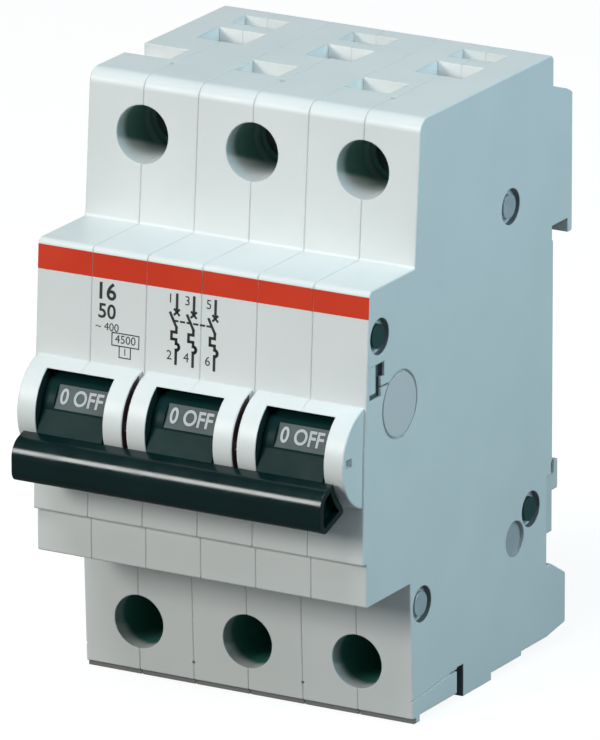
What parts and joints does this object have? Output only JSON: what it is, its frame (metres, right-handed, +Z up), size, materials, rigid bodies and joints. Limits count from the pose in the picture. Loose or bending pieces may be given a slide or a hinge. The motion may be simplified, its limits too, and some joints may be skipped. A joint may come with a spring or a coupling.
{
  "type": "miniature circuit breaker",
  "caption": "Rail-mounted miniature circuit breaker: moulded poles side by side, black toggles joined by a tie bar, screw terminals at both ends, trip mechanism and arc chutes inside.",
  "frame": {"origin": "centre of the face that rests on the mounting rail, on the middle pole's seam", "axes": "+X to the right seen from the front, +Y towards the rail, +Z up; the toggles face -Y"},
  "size_m": [0.0524, 0.0676, 0.0864],
  "materials": {
    "housing_plastic": "satin light grey moulded thermoplastic",
    "handle_plastic": "glossy black moulding",
    "label_grey": "satin grey insert",
    "clip_plastic": "satin light grey",
    "screw_steel": "zinc plated, cross recess",
    "zinc_steel": "zinc plated",
    "spring_steel": "drawn wire",
    "copper": "bare copper",
    "coil_wire": "varnished copper wire",
    "silver_tip": "silver graphite contact",
    "bimetal": "rolled bimetal",
    "inner_plastic": "dark moulding",
    "fibre_card": "vulcanised fibre"
  },
  "bodies": {
    "housing": {"pole_1_left_shell": "housing_plastic", "pole_1_right_shell": "housing_plastic", "pole_2_left_shell": "housing_plastic", "pole_2_right_shell": "housing_plastic", "pole_3_left_shell": "housing_plastic", "pole_3_right_shell": "housing_plastic", "toggle_pivot_pins": "zinc_steel", "toggle_return_springs": "spring_steel", "contact_arm_pins": "zinc_steel", "contact_springs": "spring_steel", "fixed_contacts": "copper", "fixed_contact_tips": "silver_tip", "magnet_coils": "coil_wire", "coil_bobbins": "inner_plastic", "magnet_yokes": "zinc_steel", "plunger_spring_1": "spring_steel", "plunger_spring_2": "spring_steel", "plunger_spring_3": "spring_steel", "bimetal_strips": "bimetal", "adjusting_screws": "zinc_steel", "flexible_braids": "copper", "arc_chute_plates": "zinc_steel", "arc_side_cards": "fibre_card", "arc_runners": "zinc_steel", "load_conductors": "copper", "line_conductors": "copper", "case_rivets": "zinc_steel", "din_clip_spring_1": "spring_steel", "din_clip_spring_2": "spring_steel", "din_clip_spring_3": "spring_steel"},
    "handle": {"toggle_1": "handle_plastic", "toggle_2": "handle_plastic", "toggle_3": "handle_plastic", "label_plates": "label_grey", "handle_tie_bar": "handle_plastic"},
    "links": {"toggle_links": "zinc_steel"},
    "contact_carriers": {"contact_arms": "copper", "moving_contact_tips": "silver_tip"},
    "trip_shaft": {"trip_cross_bar": "inner_plastic", "trip_levers": "inner_plastic"},
    "plunger_1": {"magnet_plunger_1": "zinc_steel"},
    "plunger_2": {"magnet_plunger_2": "zinc_steel"},
    "plunger_3": {"magnet_plunger_3": "zinc_steel"},
    "rail_clip_1": {"din_clip_1": "clip_plastic"},
    "rail_clip_2": {"din_clip_2": "clip_plastic"},
    "rail_clip_3": {"din_clip_3": "clip_plastic"},
    "upper_screw_1": {"upper_terminal_screw_1": "screw_steel"},
    "upper_cage_1": {"upper_terminal_cage_1": "zinc_steel"},
    "upper_screw_2": {"upper_terminal_screw_2": "screw_steel"},
    "upper_cage_2": {"upper_terminal_cage_2": "zinc_steel"},
    "upper_screw_3": {"upper_terminal_screw_3": "screw_steel"},
    "upper_cage_3": {"upper_terminal_cage_3": "zinc_steel"},
    "lower_screw_1": {"lower_terminal_screw_1": "screw_steel"},
    "lower_cage_1": {"lower_terminal_cage_1": "zinc_steel"},
    "lower_screw_2": {"lower_terminal_screw_2": "screw_steel"},
    "lower_cage_2": {"lower_terminal_cage_2": "zinc_steel"},
    "lower_screw_3": {"lower_terminal_screw_3": "screw_steel"},
    "lower_cage_3": {"lower_terminal_cage_3": "zinc_steel"}
  },
  "joints": [
    {"name": "handle_tilt", "type": "hinge", "parent": "housing", "child": "handle", "pos_m": [0, -0.0512, -0.001], "axis": [-1, 0, 0], "range_deg": [0, 70]},
    {"name": "link_swing", "type": "hinge", "parent": "handle", "child": "links", "pos_m": [0, -0.05079, 0.00258], "axis": [1, 0, 0], "range_deg": [0, 78]},
    {"name": "contact_swing", "type": "hinge", "parent": "housing", "child": "contact_carriers", "pos_m": [0, -0.0335, 0.0135], "axis": [1, 0, 0], "range_deg": [0, 16.1]},
    {"name": "trip_shaft_turn", "type": "hinge", "parent": "housing", "child": "trip_shaft", "pos_m": [0, -0.043, 0.0082], "axis": [-1, 0, 0], "range_deg": [0, 8], "stiffness_Nm_per_rad": 0.02, "springref_deg": -8.59},
    {"name": "plunger_1_stroke", "type": "slide", "parent": "housing", "child": "plunger_1", "axis": [0, -1, 0], "range_m": [0, 0.0024], "stiffness_N_per_m": 200, "springref_m": -0.002, "deforming": ["plunger_spring_1"]},
    {"name": "plunger_2_stroke", "type": "slide", "parent": "housing", "child": "plunger_2", "axis": [0, -1, 0], "range_m": [0, 0.0024], "stiffness_N_per_m": 200, "springref_m": -0.002, "deforming": ["plunger_spring_2"]},
    {"name": "plunger_3_stroke", "type": "slide", "parent": "housing", "child": "plunger_3", "axis": [0, -1, 0], "range_m": [0, 0.0024], "stiffness_N_per_m": 200, "springref_m": -0.002, "deforming": ["plunger_spring_3"]},
    {"name": "rail_clip_1_pull", "type": "slide", "parent": "housing", "child": "rail_clip_1", "axis": [0, 0, -1], "range_m": [0, 0.0045], "stiffness_N_per_m": 900, "springref_m": -0.003, "deforming": ["din_clip_spring_1"]},
    {"name": "rail_clip_2_pull", "type": "slide", "parent": "housing", "child": "rail_clip_2", "axis": [0, 0, -1], "range_m": [0, 0.0045], "stiffness_N_per_m": 900, "springref_m": -0.003, "deforming": ["din_clip_spring_2"]},
    {"name": "rail_clip_3_pull", "type": "slide", "parent": "housing", "child": "rail_clip_3", "axis": [0, 0, -1], "range_m": [0, 0.0045], "stiffness_N_per_m": 900, "springref_m": -0.003, "deforming": ["din_clip_spring_3"]},
    {"name": "upper_screw_1_turn", "type": "hinge", "parent": "housing", "child": "upper_screw_1", "pos_m": [-0.0175, -0.03, 0.0351], "axis": [0, 1, 0], "range_deg": [0, 2475.2]},
    {"name": "upper_cage_1_rise", "type": "slide", "parent": "housing", "child": "upper_cage_1", "axis": [0, -1, 0], "range_m": [0, 0.0055]},
    {"name": "upper_screw_2_turn", "type": "hinge", "parent": "housing", "child": "upper_screw_2", "pos_m": [0, -0.03, 0.0351], "axis": [0, 1, 0], "range_deg": [0, 2475.2]},
    {"name": "upper_cage_2_rise", "type": "slide", "parent": "housing", "child": "upper_cage_2", "axis": [0, -1, 0], "range_m": [0, 0.0055]},
    {"name": "upper_screw_3_turn", "type": "hinge", "parent": "housing", "child": "upper_screw_3", "pos_m": [0.0175, -0.03, 0.0351], "axis": [0, 1, 0], "range_deg": [0, 2475.2]},
    {"name": "upper_cage_3_rise", "type": "slide", "parent": "housing", "child": "upper_cage_3", "axis": [0, -1, 0], "range_m": [0, 0.0055]},
    {"name": "lower_screw_1_turn", "type": "hinge", "parent": "housing", "child": "lower_screw_1", "pos_m": [-0.0175, -0.03, -0.0353], "axis": [0, 1, 0], "range_deg": [0, 2475.2]},
    {"name": "lower_cage_1_rise", "type": "slide", "parent": "housing", "child": "lower_cage_1", "axis": [0, -1, 0], "range_m": [0, 0.0055]},
    {"name": "lower_screw_2_turn", "type": "hinge", "parent": "housing", "child": "lower_screw_2", "pos_m": [0, -0.03, -0.0353], "axis": [0, 1, 0], "range_deg": [0, 2475.2]},
    {"name": "lower_cage_2_rise", "type": "slide", "parent": "housing", "child": "lower_cage_2", "axis": [0, -1, 0], "range_m": [0, 0.0055]},
    {"name": "lower_screw_3_turn", "type": "hinge", "parent": "housing", "child": "lower_screw_3", "pos_m": [0.0175, -0.03, -0.0353], "axis": [0, 1, 0], "range_deg": [0, 2475.2]},
    {"name": "lower_cage_3_rise", "type": "slide", "parent": "housing", "child": "lower_cage_3", "axis": [0, -1, 0], "range_m": [0, 0.0055]}
  ],
  "couplings": [
    {"joint": "link_swing", "follows": "handle_tilt", "ratio": 1.1134},
    {"joint": "contact_swing", "follows": "handle_tilt", "ratio": 0.22857},
    {"joint": "upper_screw_1_turn", "follows": "upper_cage_1_rise", "rad_per_m": 7854},
    {"joint": "upper_screw_2_turn", "follows": "upper_cage_2_rise", "rad_per_m": 7854},
    {"joint": "upper_screw_3_turn", "follows": "upper_cage_3_rise", "rad_per_m": 7854},
    {"joint": "lower_screw_1_turn", "follows": "lower_cage_1_rise", "rad_per_m": 7854},
    {"joint": "lower_screw_2_turn", "follows": "lower_cage_2_rise", "rad_per_m": 7854},
    {"joint": "lower_screw_3_turn", "follows": "lower_cage_3_rise", "rad_per_m": 7854}
  ]
}
